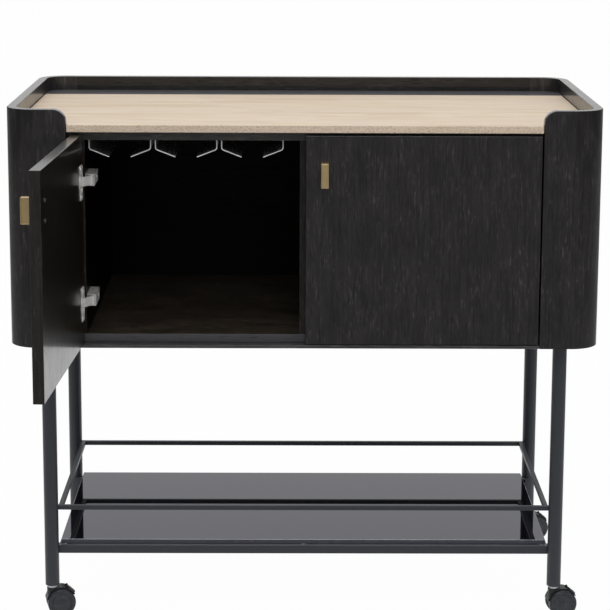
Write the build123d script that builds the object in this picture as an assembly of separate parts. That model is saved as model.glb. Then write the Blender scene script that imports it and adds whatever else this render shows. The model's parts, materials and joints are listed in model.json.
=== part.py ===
from build123d import *
import os
from math import atan2, cos, degrees, hypot, radians, sin

# Bar cart: a two-door oak cabinet with a stone worktop, on a steel frame with a glass shelf.
# Millimetres. X runs to the right, Y to the back and Z up from the floor. The origin lies on
# the floor under the middle of the whole cart, measured with its left door standing open.

# Cabinet shell
cabinet_width = 1020.0
cabinet_depth = 534.0
cabinet_height = 413.0
shell_thickness = 16.0
shell_corner_radius = 50.0
stile_width = 105.0
stile_corner_radius = 22.0
back_return = 70.0
edge_round = 1.0

# Boards inside the shell
worktop_thickness = 12.5
worktop_depth = 445.0
worktop_gap = 1.5
rim_height = 26.0
board_gap = 0.5
top_board_thickness = 16.0
base_board_thickness = 5.5
floor_thickness = 14.5
divider_thickness = 18.0
inner_side_thickness = 18.0
wall_inset = 26.5
carcass_setback = 22.0

# Doors
door_thickness = 18.0
door_side_gap = 2.5
door_middle_gap = 2.5
door_bottom_gap = 1.5
door_top_gap = 5.0
open_angle = 93.0
widest_angle = 95.0

# Door handles
handle_width = 13.0
handle_height = 42.5
handle_reach = 19.0
handle_from_edge = 25.7
handle_from_top = 45.3
handle_wall = 1.8
handle_recess = 1.2
handle_corner = 1.5
handle_screw_spacing = 32.0
handle_screw_radius = 2.0
handle_screw_grip = 10.0
handle_screw_head_radius = 3.6
handle_screw_head_height = 2.0

# Concealed hinges, in the frame of a closed door: along the door from its hinge edge, and back
# from its front face
hinge_from_top = 80.5
hinge_from_bottom = 72.0
hinge_axis_inset = 10.0
hinge_axis_depth = 4.7
cup_diameter = 35.0
cup_depth = 12.0
cup_from_edge = 3.0
cup_wall = 1.0
flange_width = 26.0
flange_height = 60.0
flange_thickness = 1.2
flange_corner = 5.0
flange_screw_spacing = 48.0
flange_screw_shift = 6.5
arm_pin_inset = 38.0
cup_pin_inset = 10.6
cup_pin_depth = 11.9
link_knee_inset = 18.4
link_knee_depth = 9.8
link_width = 16.0
link_thickness = 2.2
link_eye_radius = 2.6
cup_pin_radius = 1.0
cup_pin_length = 20.0
cup_pin_gap = 0.3
cup_slot_steps = 8
cup_ear_thickness = 1.5
cup_ear_gap = 0.4
cup_ear_reach = 5.0
cup_ear_rise = 4.0
arm_pin_radius = 1.5
arm_height = 20.0
arm_reach = 14.0
arm_wall = 1.5
arm_length = 64.0
arm_nose = 3.2
plate_thickness = 2.0
plate_screw_setback = 12.0
plate_screw_spacing = 18.0
arm_screw_setback = 42.0
small_screw_radius = 1.75
small_screw_length = 13.0
small_screw_head_radius = 3.4
small_screw_head_height = 1.2
flange_screw_length = 9.0

# Glass rack under the top board of the left compartment
rack_channel_width = 105.3
rack_web_spacing = 8.3
rack_offset = 11.5
rack_sheet = 2.0
rack_web_height = 19.0
rack_lip_length = 33.4
rack_lip_drop = 13.0
rack_bend_radius = 5.0
rack_flange = 12.0
rack_setback = 45.0
rack_back_gap = 38.0
rack_screw_inset = 40.0
rack_screw_radius = 1.6
rack_screw_head_radius = 2.7
rack_screw_head_height = 1.6
rack_screw_length = 11.0

# Legs
leg_length = 450.0
leg_diameter = 25.0
leg_wall = 1.5
leg_side_inset = 61.0
leg_end_inset = 63.0
leg_plate_width = 35.0
leg_plate_depth = 66.0
leg_plate_thickness = 3.0
leg_plate_corner = 4.0
leg_screw_spacing = 48.0
leg_screw_radius = 2.4
leg_screw_length = 14.0
leg_screw_head_radius = 4.2
leg_screw_head_height = 2.4

# Gallery rail, shelf frame and glass shelf
ring_step = 2.0
gallery_bar = 8.0
gallery_above_glass = 56.3
shelf_tube = 15.0
shelf_tube_wall = 1.5
drain_radius = 2.5
shelf_drop = 368.9
glass_thickness = 8.0
glass_side_gap = 3.5
glass_end_gap = 8.0
glass_round = 0.8
pad_height = 1.5
pad_radius = 4.5

# Castors
castor_height = 57.0
castor_trail = 14.5
castor_width = 34.0
wheel_radius = 25.0
wheel_width = 8.5
wheel_side_gap = 0.6
wheel_cap = 2.3
wheel_edge_round = 2.5
wheel_dish_radius = 19.5
wheel_dish_depth = 0.7
axle_radius = 2.5
axle_end_gap = 0.3
hood_core_radius = 23.0
hood_core_bottom = 6.0
visor_gap = 0.8
visor_thickness = 1.8
visor_width = 23.0
visor_front = 28.0
visor_back = 168.0
boss_radius = 10.0
collar_radius = 8.5
collar_height = 4.7
collar_gap = 0.5
stem_radius = 5.0
stem_grip = 24.0
socket_length = 30.0
lever_pivot_angle = 66.0
lever_end_angle = 32.0
lever_pivot_radius = 28.2
lever_width = 11.0
lever_thickness = 3.2
lever_pin_radius = 1.2
lever_lug_width = 2.0
lever_lug_radius = 2.2
lever_lug_spread = 6.0
lever_side_gap = 0.3
lever_slot_margin = 8.0
castor_headings = {"front_left": 14.0, "front_right": 9.0, "rear_left": 17.0, "rear_right": 12.0}

# Clearances
running_gap = 0.05
overrun = 1.0
cutter_reach = 75.0
same_place = 0.01

# Places worked out from the sizes above
shell_bottom = castor_height + leg_length
shell_top = shell_bottom + cabinet_height
shell_half = cabinet_width / 2
stile_edge = shell_half - stile_width
seam_x = shell_half - back_return
worktop_top = shell_top - rim_height
worktop_bottom = worktop_top - worktop_thickness
ceiling = worktop_bottom - top_board_thickness
floor_bottom = shell_bottom + base_board_thickness
floor_top = floor_bottom + floor_thickness
hinge_edge_x = stile_edge - door_side_gap
inner_wall_x = hinge_edge_x - wall_inset
compartment_width = inner_wall_x - divider_thickness / 2
door_width = hinge_edge_x - door_middle_gap / 2
door_bottom = floor_bottom + door_bottom_gap
door_top = worktop_bottom - door_top_gap
hinge_heights = (door_bottom + hinge_from_bottom, door_top - hinge_from_top)
cup_centre = cup_from_edge + cup_diameter / 2
plate_face = wall_inset + plate_thickness
arm_face = plate_face + arm_reach
handle_centre = door_width - handle_from_edge - handle_width / 2
handle_height_z = door_top - handle_from_top - handle_height / 2
handle_screw_heights = [handle_height_z + side * handle_screw_spacing / 2 for side in (-1, 1)]
flange_screw_inset = cup_centre + flange_screw_shift

# The open door's free end reaches furthest to the front, and sets how far the cabinet lies
# behind the origin
reach_along = door_width - hinge_axis_inset - edge_round
reach_across = door_thickness - hinge_axis_depth - edge_round
swing = radians(open_angle)
door_reach = reach_along * sin(swing) - reach_across * cos(swing) + edge_round - hinge_axis_depth
front_y = (door_reach - cabinet_depth) / 2
back_y = front_y + cabinet_depth
inner_back_y = back_y - shell_thickness
carcass_front = front_y + carcass_setback

leg_x = shell_half - leg_side_inset
leg_ys = {"front": front_y + leg_end_inset, "rear": back_y - leg_end_inset}
ring_half_width = leg_x - leg_diameter / 2
ring_front = leg_ys["front"] + ring_step
ring_back = leg_ys["rear"] - ring_step
glass_top = shell_bottom - shelf_drop
glass_bottom = glass_top - glass_thickness
shelf_frame_top = glass_bottom - pad_height
gallery_bottom = glass_top + gallery_above_glass


def block(x, y, z):
    """Box between a low and a high place along each direction."""
    sizes = [high - low for low, high in (x, y, z)]
    centre = [(low + high) / 2 for low, high in (x, y, z)]
    return Pos(*centre) * Box(*sizes)


def rod(start, end, radius):
    """Round bar from one point to another."""
    line = Vector(*end) - Vector(*start)
    place = Plane(origin=start, z_dir=line)
    return place * Cylinder(radius, line.length, align=(Align.CENTER, Align.CENTER, Align.MIN))


def group(pieces):
    """Separate solids that share one node."""
    solids = [solid for piece in pieces for solid in piece.solids()]
    return Compound(solids)


def mirrored(piece):
    """The same piece on the other side of the cart."""
    return mirror(piece, about=Plane.YZ)


def corner_posts(x_half, y_low, y_high):
    """The four corners of a rectangle centred in X."""
    return [(x, y) for x in (-x_half, x_half) for y in (y_low, y_high)]


# Cabinet


def shell_plan(inset):
    """Cabinet outline seen from above, drawn in by inset all round."""
    width = cabinet_width - 2 * inset
    depth = cabinet_depth - 2 * inset
    middle = Pos(0, front_y + cabinet_depth / 2)
    return middle * RectangleRounded(width, depth, shell_corner_radius - inset)


def strip_plan(half_width, y_low, y_high):
    """Plain rectangle seen from above."""
    return Pos(0, (y_low + y_high) / 2) * Rectangle(2 * half_width, y_high - y_low)


def board(plan, bottom, thickness):
    """Flat board cut to a plan."""
    return extrude(Pos(0, 0, bottom) * plan, thickness)


def rounds_on_wrap(edge):
    """True for the edges along the rim and down the stile's free edge."""
    box = edge.bounding_box()
    across_wall = box.size.X < same_place and abs(box.size.Y - shell_thickness) < same_place
    on_rim = box.min.Z > shell_top - stile_corner_radius - same_place
    on_stile = abs(abs(edge.center().X) - stile_edge) < same_place
    return (on_rim or on_stile) and not across_wall


def side_wraps():
    """Left and right bent boards: stile, round corner, side, round corner and back return."""
    ring = shell_plan(0) - shell_plan(shell_thickness)
    shell = board(ring, shell_bottom, cabinet_height)
    tall = (shell_bottom - overrun, shell_top + overrun)
    front_wall = (front_y - overrun, front_y + shell_thickness + overrun)
    back_wall = (inner_back_y - overrun, back_y + overrun)
    shell -= block((-stile_edge, stile_edge), front_wall, tall)
    shell -= block((-seam_x, seam_x), back_wall, tall)
    right = shell.solids().sort_by(Axis.X)[-1]
    top_corner = right.edges().filter_by(Axis.Y).sort_by_distance((stile_edge, front_y, shell_top))[0]
    right = right.fillet(stile_corner_radius, [top_corner])
    right = right.fillet(edge_round, right.edges().filter_by(rounds_on_wrap))
    return mirrored(right), right


def back_panel():
    """Panel that closes the back between the wraps, as high as the rim."""
    panel = block((-seam_x, seam_x), (inner_back_y, back_y), (shell_bottom, shell_top))
    top_edges = panel.edges().filter_by(Axis.X).group_by(Axis.Z)[-1]
    return fillet(top_edges, edge_round)


def worktop():
    """Stone slab inside the rim, with a tongue that comes forward between the stiles."""
    body = shell_plan(shell_thickness + worktop_gap)
    body &= strip_plan(shell_half, front_y, front_y + worktop_depth)
    tongue_back = front_y + shell_thickness + shell_corner_radius
    body += strip_plan(stile_edge - worktop_gap, front_y, tongue_back)
    slab = board(body, worktop_bottom, worktop_thickness)
    front_edges = slab.edges().filter_by(Axis.X).group_by(Axis.Y)[0]
    return fillet(front_edges, edge_round)


def back_ledge():
    """Dark strip level with the slab, from the slab to the back panel."""
    plan = shell_plan(shell_thickness + board_gap)
    plan &= strip_plan(shell_half, front_y + worktop_depth + board_gap, back_y)
    return board(plan, worktop_bottom, worktop_thickness)


def carcass_board(bottom, thickness):
    """Level board between the wraps, behind the doors."""
    plan = shell_plan(shell_thickness + board_gap)
    plan &= strip_plan(shell_half, carcass_front, back_y)
    return board(plan, bottom, thickness)


def base_board():
    """Thin bottom board that shows below the doors between the stiles."""
    plan = shell_plan(shell_thickness + board_gap)
    tongue_back = front_y + shell_thickness + shell_corner_radius
    plan += strip_plan(stile_edge - board_gap, front_y, tongue_back)
    return board(plan, shell_bottom, base_board_thickness)


def upright(x_low, x_high):
    """Upright board between the floor panel and the top board."""
    return block((x_low, x_high), (carcass_front, inner_back_y - board_gap), (floor_top, ceiling))


# Doors and hinges, made in the frame of the closed left door


def on_left_door(piece):
    """Carry a piece from the closed door's frame to the left door's place, still closed."""
    return Pos(-hinge_edge_x, front_y, 0) * piece


def hang(piece):
    """Left copy with its door open, right copy with its door closed."""
    closed = on_left_door(piece)
    axis_place = (hinge_axis_inset - hinge_edge_x, front_y + hinge_axis_depth, 0)
    return closed.rotate(Axis(axis_place, (0, 0, 1)), -open_angle), mirrored(closed)


def turned_with_door(inset, depth):
    """Where a point of the closed door is when the left door is open."""
    along = inset - hinge_axis_inset
    across = depth - hinge_axis_depth
    return (
        hinge_axis_inset + along * cos(swing) + across * sin(swing),
        hinge_axis_depth - along * sin(swing) + across * cos(swing),
    )


def arm_pin():
    """Place of the arm's pin: as far from the cup pin with the door open as with it closed."""
    open_inset, open_depth = turned_with_door(cup_pin_inset, cup_pin_depth)
    middle_inset = (cup_pin_inset + open_inset) / 2
    middle_depth = (cup_pin_depth + open_depth) / 2
    slope = (cup_pin_inset - open_inset) / (open_depth - cup_pin_depth)
    return arm_pin_inset, middle_depth + slope * (arm_pin_inset - middle_inset)


def link_turn():
    """Angle that the links turn through while the door opens to its rest angle."""
    inset, depth = arm_pin()
    open_inset, open_depth = turned_with_door(cup_pin_inset, cup_pin_depth)
    closed_angle = atan2(cup_pin_depth - depth, cup_pin_inset - inset)
    end_angle = atan2(open_depth - depth, open_inset - inset)
    return (degrees(end_angle - closed_angle) + 180) % 360 - 180


def door_panel():
    """Door board with its cup bores and screw holes."""
    panel = block((0, door_width), (0, door_thickness), (door_bottom, door_top))
    panel = fillet(panel.edges(), edge_round)
    for height in hinge_heights:
        start = (cup_centre, door_thickness - cup_depth, height)
        end = (cup_centre, door_thickness + overrun, height)
        panel -= rod(start, end, cup_diameter / 2 + running_gap)
        for screw_height in flange_screw_heights(height):
            start = (flange_screw_inset, door_thickness - flange_screw_length - overrun, screw_height)
            end = (flange_screw_inset, door_thickness + overrun, screw_height)
            panel -= rod(start, end, small_screw_radius + running_gap)
    for height in handle_screw_heights:
        start = (handle_centre, -overrun, height)
        end = (handle_centre, door_thickness + overrun, height)
        panel -= rod(start, end, handle_screw_radius + running_gap)
    return panel


def flange_screw_heights(height):
    """Heights of the two screws that hold a hinge cup at this height."""
    return [height + side * flange_screw_spacing / 2 for side in (-1, 1)]


def handle():
    """Brass grip: a strap bent round a thinner core, so that its sides are recessed."""
    x = (handle_centre - handle_width / 2, handle_centre + handle_width / 2)
    z = (handle_height_z - handle_height / 2, handle_height_z + handle_height / 2)
    grip = block(x, (-handle_reach, 0), z)
    front_corners = grip.edges().filter_by(Axis.X).group_by(Axis.Y)[0]
    grip = fillet(front_corners, handle_corner)
    pocket_y = (handle_wall - handle_reach, -handle_wall)
    pocket_z = (z[0] + handle_wall, z[1] - handle_wall)
    grip -= block((x[0] - overrun, x[0] + handle_recess), pocket_y, pocket_z)
    grip -= block((x[1] - handle_recess, x[1] + overrun), pocket_y, pocket_z)
    for height in handle_screw_heights:
        end = (handle_centre, -handle_screw_grip - overrun, height)
        grip -= rod((handle_centre, overrun, height), end, handle_screw_radius + running_gap)
    return grip


def door_screws():
    """Two machine screws into the handle and four wood screws through the cup flanges."""
    screws = []
    for height in handle_screw_heights:
        face = (handle_centre, door_thickness, height)
        tip = (handle_centre, -handle_screw_grip, height)
        top = (handle_centre, door_thickness + handle_screw_head_height, height)
        head = rod(face, top, handle_screw_head_radius)
        screws.append(rod(tip, face, handle_screw_radius) + head)
    face_depth = door_thickness + flange_thickness
    for hinge_height in hinge_heights:
        for height in flange_screw_heights(hinge_height):
            tip = (flange_screw_inset, door_thickness - flange_screw_length, height)
            face = (flange_screw_inset, face_depth, height)
            top = (flange_screw_inset, face_depth + small_screw_head_height, height)
            head = rod(face, top, small_screw_head_radius)
            screws.append(rod(tip, face, small_screw_radius) + head)
    return group(screws)


def strap(start, end, half_thickness, z_low, z_high):
    """Flat strap on edge between two places seen from above, with rounded ends."""
    run = (end[0] - start[0], end[1] - start[1])
    middle = Pos((start[0] + end[0]) / 2, (start[1] + end[1]) / 2, z_low)
    outline = SlotCenterToCenter(hypot(*run), 2 * half_thickness)
    return extrude(middle * Rot(0, 0, degrees(atan2(run[1], run[0]))) * outline, z_high - z_low)


def cup_pin_place(door_angle):
    """Where the link holds its cup pin, seen from the door when it stands open by this angle."""
    pin = arm_pin()
    link_angle = radians(link_turn() * door_angle / open_angle)
    run = (cup_pin_inset - pin[0], cup_pin_depth - pin[1])
    along = pin[0] + run[0] * cos(link_angle) - run[1] * sin(link_angle) - hinge_axis_inset
    across = pin[1] + run[0] * sin(link_angle) + run[1] * cos(link_angle) - hinge_axis_depth
    angle = radians(door_angle)
    return (
        hinge_axis_inset + along * cos(angle) - across * sin(angle),
        hinge_axis_depth + along * sin(angle) + across * cos(angle),
    )


def cup_ears(height):
    """Two ears inside the cup, slotted for the pin, which shifts a little while the door swings."""
    x = (0, cup_pin_inset + cup_ear_reach)
    y = (door_thickness - cup_depth, cup_pin_depth + cup_ear_rise)
    low, high = height - cup_diameter / 2, height + cup_diameter / 2
    inner = link_width / 2 + cup_ear_gap
    ears = block(x, y, (height - inner - cup_ear_thickness, height + inner + cup_ear_thickness))
    ears -= block((-overrun, x[1] + overrun), (0, door_thickness), (height - inner, height + inner))
    angles = [widest_angle * step / cup_slot_steps for step in range(cup_slot_steps + 1)]
    places = [cup_pin_place(angle) for angle in angles]
    for near, far in zip(places, places[1:]):
        ears -= strap(near, far, cup_pin_radius + cup_pin_gap, low, high)
    return ears & rod((cup_centre, 0, height), (cup_centre, door_thickness, height), cup_diameter / 2)


def hinge_cup(height):
    """Pressed cup with a screw flange on the door's inner face."""
    bottom = (cup_centre, door_thickness - cup_depth, height)
    mouth = (cup_centre, door_thickness + flange_thickness, height)
    x = (cup_centre - flange_width / 2, cup_centre + flange_width / 2)
    z = (height - flange_height / 2, height + flange_height / 2)
    flange = block(x, (door_thickness, door_thickness + flange_thickness), z)
    flange = fillet(flange.edges().filter_by(Axis.Y), flange_corner)
    lip_start = (cup_centre, door_thickness, height)
    cup = flange + rod(bottom, mouth, cup_diameter / 2) + rod(lip_start, mouth, cup_diameter / 2 + cup_wall)
    hollow_start = (cup_centre, door_thickness - cup_depth + cup_wall, height)
    hollow_end = (cup_centre, door_thickness + flange_thickness + overrun, height)
    cup -= rod(hollow_start, hollow_end, cup_diameter / 2 - cup_wall)
    cup += cup_ears(height)
    for screw_height in flange_screw_heights(height):
        start = (flange_screw_inset, door_thickness - overrun, screw_height)
        end = (flange_screw_inset, door_thickness + flange_thickness + overrun, screw_height)
        cup -= rod(start, end, small_screw_radius + running_gap)
    return cup


def hinge_link(height):
    """Cranked link between the arm's pin and the cup, with the cup's pin fixed in its end."""
    z = (height - link_width / 2, height + link_width / 2)
    pin = arm_pin()
    knee = (link_knee_inset, link_knee_depth)
    tip = (cup_pin_inset, cup_pin_depth)
    link = strap(pin, knee, link_thickness / 2, *z) + strap(knee, tip, link_thickness / 2, *z)
    link += rod((*pin, z[0]), (*pin, z[1]), link_eye_radius)
    link -= rod((*pin, z[0] - overrun), (*pin, z[1] + overrun), arm_pin_radius + running_gap)
    tip_start = (*tip, height - cup_pin_length / 2)
    tip_end = (*tip, height + cup_pin_length / 2)
    return link + rod(tip_start, tip_end, cup_pin_radius)


def hinge_arm(height):
    """Channel on the mounting plate, with the riveted pin that carries the link."""
    pin = arm_pin()
    front = pin[1] - arm_nose
    back = front + arm_length
    z = (height - arm_height / 2, height + arm_height / 2)
    arm = block((plate_face, arm_face), (front, back), z)
    inner_z = (z[0] + arm_wall, z[1] - arm_wall)
    arm -= block((plate_face - overrun, arm_face - arm_wall), (front - overrun, back + overrun), inner_z)
    arm += rod((*pin, z[0]), (*pin, z[1]), arm_pin_radius)
    screw_y = pin[1] + arm_screw_setback
    start = (arm_face - arm_wall - overrun, screw_y, height)
    arm -= rod(start, (arm_face + overrun, screw_y, height), small_screw_radius + running_gap)
    return arm


def plate_screw_depths():
    """Depths of the two screws that hold a mounting plate, one behind the other under its arm."""
    first = arm_pin()[1] + plate_screw_setback
    return [first, first + plate_screw_spacing]


def hinge_plate(height):
    """Straight plate on the inner side panel, covered by the arm."""
    pin_depth = arm_pin()[1]
    x = (wall_inset, plate_face)
    y = (pin_depth + arm_nose, pin_depth - arm_nose + arm_length)
    plate = block(x, y, (height - arm_height / 2, height + arm_height / 2))
    for depth in (*plate_screw_depths(), pin_depth + arm_screw_setback):
        start = (wall_inset - overrun, depth, height)
        plate -= rod(start, (plate_face + overrun, depth, height), small_screw_radius + running_gap)
    return plate


def plate_screws(height):
    """Two wood screws into the panel and the clamping screw through the arm."""
    screws = []
    for depth in plate_screw_depths():
        face = (plate_face, depth, height)
        tip = (plate_face - small_screw_length, depth, height)
        top = (plate_face + small_screw_head_height, depth, height)
        screws.append(rod(tip, face, small_screw_radius) + rod(face, top, small_screw_head_radius))
    screw_y = arm_pin()[1] + arm_screw_setback
    tip = (wall_inset, screw_y, height)
    face = (arm_face, screw_y, height)
    top = (arm_face + small_screw_head_height, screw_y, height)
    screws.append(rod(tip, face, small_screw_radius) + rod(face, top, small_screw_head_radius))
    return screws


def fixed_hinge_parts(make):
    """One kind of hinge part for the left side, at both heights, and its mirror image."""
    left = on_left_door(group([make(height) for height in hinge_heights]))
    return left, mirrored(left)


def hinge_links():
    """Left links turned to the open door, right links as on the closed door."""
    closed = on_left_door(group([hinge_link(height) for height in hinge_heights]))
    inset, depth = arm_pin()
    axis = Axis((inset - hinge_edge_x, front_y + depth, 0), (0, 0, 1))
    return closed.rotate(axis, link_turn()), mirrored(closed)


def inner_sides():
    """Left and right inner side panels with the plate screws' holes."""
    panel = upright(-inner_wall_x - inner_side_thickness, -inner_wall_x)
    for height in hinge_heights:
        for depth in plate_screw_depths():
            mouth = (overrun - inner_wall_x, front_y + depth, height)
            tip_x = plate_thickness - small_screw_length - inner_wall_x
            panel -= rod((tip_x, front_y + depth, height), mouth, small_screw_radius + running_gap)
    return panel, mirrored(panel)


# Glass rack


rack_centre = -inner_wall_x + compartment_width / 2 - rack_offset
rack_pitch = rack_channel_width + rack_web_spacing
rack_channels = int(compartment_width // rack_pitch)
rack_front = front_y + rack_setback
rack_length = inner_back_y - rack_back_gap - rack_front
rack_knee = ceiling - rack_web_height


def rack_rail_x(number):
    """Middle of a hanger rail, counted from the left."""
    return rack_centre + (number - rack_channels / 2) * rack_pitch


def rack_lips(number):
    """Sides that carry a lip: one on an end rail, both on a rail between two channels."""
    return [side for side in (-1, 1) if 0 <= number + (side - 1) / 2 < rack_channels]


def rack_flange_span(number):
    """Left and right edge of the flat top that the rail is screwed up through."""
    x = rack_rail_x(number)
    lips = rack_lips(number)
    half = (rack_web_spacing + rack_sheet) / 2
    if len(lips) == 2:
        return x - half, x + half
    web_outside = x + lips[0] * (half - rack_sheet)
    return tuple(sorted((web_outside, web_outside + lips[0] * rack_flange)))


def rack_screw_places(number):
    """The two screws of one rail, seen from above."""
    x = sum(rack_flange_span(number)) / 2
    return [(x, rack_front + rack_screw_inset), (x, rack_front + rack_length - rack_screw_inset)]


def rack_lip(x, side):
    """Web that hangs from the top board, folded out into a lip that slopes down."""
    web_x = x + side * rack_web_spacing / 2
    lip_x = web_x + side * rack_lip_length
    top = ceiling - rack_sheet / 2
    points = [(web_x, top), (web_x, rack_knee), (lip_x, rack_knee - rack_lip_drop)]
    path = FilletPolyline(*points, radius=rack_bend_radius)
    outline = make_face(offset(path, rack_sheet / 2, side=Side.BOTH))
    return Pos(0, rack_front, 0) * extrude(Plane.XZ * outline, rack_length, dir=(0, 1, 0))


def rack_rail(number):
    """Folded sheet rail: a flat top and one or two lips."""
    depth = (rack_front, rack_front + rack_length)
    rail = block(rack_flange_span(number), depth, (ceiling - rack_sheet, ceiling))
    for side in rack_lips(number):
        rail += rack_lip(rack_rail_x(number), side)
    for spot in rack_screw_places(number):
        start = (*spot, ceiling - rack_sheet - overrun)
        rail -= rod(start, (*spot, ceiling + overrun), rack_screw_radius + running_gap)
    return rail


def rack_screw(spot):
    """Wood screw up through a rail into the top board."""
    face = (*spot, ceiling - rack_sheet)
    shank = rod(face, (*spot, ceiling + rack_screw_length), rack_screw_radius)
    head_end = (*spot, ceiling - rack_sheet - rack_screw_head_height)
    return shank + rod(head_end, face, rack_screw_head_radius)


rack_numbers = range(rack_channels + 1)
rack_screw_spots = [spot for number in rack_numbers for spot in rack_screw_places(number)]


def top_board():
    """Board that the slab lies on and the glass rack hangs from."""
    plank = carcass_board(ceiling, top_board_thickness)
    for spot in rack_screw_spots:
        end = (*spot, ceiling + rack_screw_length + overrun)
        plank -= rod((*spot, ceiling - overrun), end, rack_screw_radius + running_gap)
    return plank


# Leg frame, gallery rail and shelf


def screw_pattern(x, y):
    """The two leg screws' places, in front of the leg and behind it."""
    return [(x, y + side * leg_screw_spacing / 2) for side in (-1, 1)]


def leg(x, y):
    """Round tube with a screw plate welded to its top."""
    plate_bottom = shell_bottom - leg_plate_thickness
    plate_x = (x - leg_plate_width / 2, x + leg_plate_width / 2)
    plate_y = (y - leg_plate_depth / 2, y + leg_plate_depth / 2)
    plate = block(plate_x, plate_y, (plate_bottom, shell_bottom))
    plate = fillet(plate.edges().filter_by(Axis.Z), leg_plate_corner)
    for hole_x, hole_y in screw_pattern(x, y):
        start = (hole_x, hole_y, plate_bottom - overrun)
        plate -= rod(start, (hole_x, hole_y, shell_bottom + overrun), leg_screw_radius + running_gap)
    tube = rod((x, y, castor_height), (x, y, plate_bottom), leg_diameter / 2)
    bore_end = (x, y, plate_bottom)
    return plate + tube - rod((x, y, castor_height - overrun), bore_end, leg_diameter / 2 - leg_wall)


def leg_screw(x, y):
    """Wood screw up through a leg plate into the cabinet."""
    face = (x, y, shell_bottom - leg_plate_thickness)
    head_end = (x, y, shell_bottom - leg_plate_thickness - leg_screw_head_height)
    shank = rod(face, (x, y, shell_bottom + leg_screw_length), leg_screw_radius)
    return shank + rod(head_end, face, leg_screw_head_radius)


leg_places = {
    f"{end}_{side}": (sign * leg_x, y)
    for end, y in leg_ys.items()
    for side, sign in (("left", -1), ("right", 1))
}
leg_screw_places = [spot for place in leg_places.values() for spot in screw_pattern(*place)]


def with_leg_screw_holes(plank):
    """Drill a board for every leg screw that reaches it."""
    for x, y in leg_screw_places:
        start = (x, y, shell_bottom - overrun)
        end = (x, y, shell_bottom + leg_screw_length + overrun)
        plank -= rod(start, end, leg_screw_radius + running_gap)
    return plank


def ring(bar, bottom):
    """Square-bar ring inside the legs, with its ends coped to the round legs."""
    z = (bottom, bottom + bar)
    frame = block((-ring_half_width, ring_half_width), (ring_front, ring_back), z)
    for y in ((ring_front, ring_front + bar), (ring_back - bar, ring_back)):
        frame += block((-leg_x, leg_x), y, z)
    hollow_x = (bar - ring_half_width, ring_half_width - bar)
    hollow_y = (ring_front + bar, ring_back - bar)
    frame -= block(hollow_x, hollow_y, (z[0] - overrun, z[1] + overrun))
    for x, y in leg_places.values():
        frame -= rod((x, y, z[0] - overrun), (x, y, z[1] + overrun), leg_diameter / 2)
    return frame


def welded_bars(frame, bar):
    """The four bars that a ring is welded from, the side bars butted between the other two."""
    z = (0, shell_bottom)
    front = block((-leg_x, leg_x), (ring_front, ring_front + bar), z)
    rear = block((-leg_x, leg_x), (ring_back - bar, ring_back), z)
    between = (ring_front + bar, ring_back - bar)
    left = block((-leg_x, 0), between, z)
    return group([frame & front, frame & rear, frame & left, frame & mirrored(left)])


def gallery_rail():
    """Slim rail that keeps bottles on the shelf."""
    return welded_bars(ring(gallery_bar, gallery_bottom), gallery_bar)


def shelf_frame():
    """Square tube ring under the glass, with a drain hole below each corner."""
    bottom = shelf_frame_top - shelf_tube
    frame = ring(shelf_tube, bottom)
    inner = shelf_tube - 2 * shelf_tube_wall
    z = (bottom + shelf_tube_wall, bottom + shelf_tube_wall + inner)
    outer_x = ring_half_width - shelf_tube_wall
    y = (ring_front + shelf_tube_wall, ring_back - shelf_tube_wall)
    bore = block((-outer_x, outer_x), y, z)
    core_y = (y[0] + inner, y[1] - inner)
    bore -= block((inner - outer_x, outer_x - inner), core_y, (z[0] - overrun, z[1] + overrun))
    frame -= bore
    drain_x = outer_x - inner / 2
    for x, drain_y in corner_posts(drain_x, ring_front + 2 * shelf_tube, ring_back - 2 * shelf_tube):
        frame -= rod((x, drain_y, bottom - overrun), (x, drain_y, z[0] + overrun), drain_radius)
    return welded_bars(frame, shelf_tube)


glass_half = ring_half_width - glass_side_gap
glass_front = leg_ys["front"] + glass_end_gap
glass_back = leg_ys["rear"] - glass_end_gap


def glass_shelf():
    """Black glass plate on the shelf frame."""
    plate = block((-glass_half, glass_half), (glass_front, glass_back), (glass_bottom, glass_top))
    return fillet(plate.edges(), glass_round)


def shelf_pads():
    """Clear pads between the frame and the glass."""
    pad_x = ring_half_width - shelf_tube + pad_radius
    pad_front = ring_front + shelf_tube - pad_radius
    pad_back = ring_back - shelf_tube + pad_radius
    places = [(x, y) for x in (-pad_x, 0, pad_x) for y in (pad_front, pad_back)]
    return group([rod((x, y, shelf_frame_top), (x, y, glass_bottom), pad_radius) for x, y in places])


# Castors, made about their swivel axis with the trail along X and the axle along Y


hood_half = castor_width / 2 - wheel_width - wheel_side_gap
axle_half = castor_width / 2 - wheel_cap - axle_end_gap
wheel_clearance = wheel_radius + visor_gap
visor_radius = wheel_clearance + visor_thickness
collar_bottom = castor_height - collar_height
boss_top = collar_bottom - collar_gap
axle_place = (castor_trail, wheel_radius)
lever_slot_half = lever_width / 2 + lever_side_gap


def around_axle(radius, angle):
    """Place seen from the side, at an angle above the trail direction about the axle."""
    x, z = axle_place
    return x + radius * cos(radians(angle)), z + radius * sin(radians(angle))


def disc(place, radius):
    """Round outline seen from the side."""
    return Pos(*place) * Circle(radius)


def wedge(from_angle, to_angle):
    """Outline of a wide slice seen from the side, with its point on the axle."""
    middle_angle = (from_angle + to_angle) / 2
    corners = [around_axle(cutter_reach, angle) for angle in (from_angle, middle_angle, to_angle)]
    return make_face(Polyline(axle_place, *corners, axle_place))


def across(outline, low, high):
    """Solid of a side-view outline between two places along the axle."""
    return Pos(0, low, 0) * extrude(Plane.XZ * outline, high - low, dir=(0, 1, 0))


lever_pivot = around_axle(lever_pivot_radius, lever_pivot_angle)
lever_end = around_axle(lever_pivot_radius, lever_end_angle)


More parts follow.
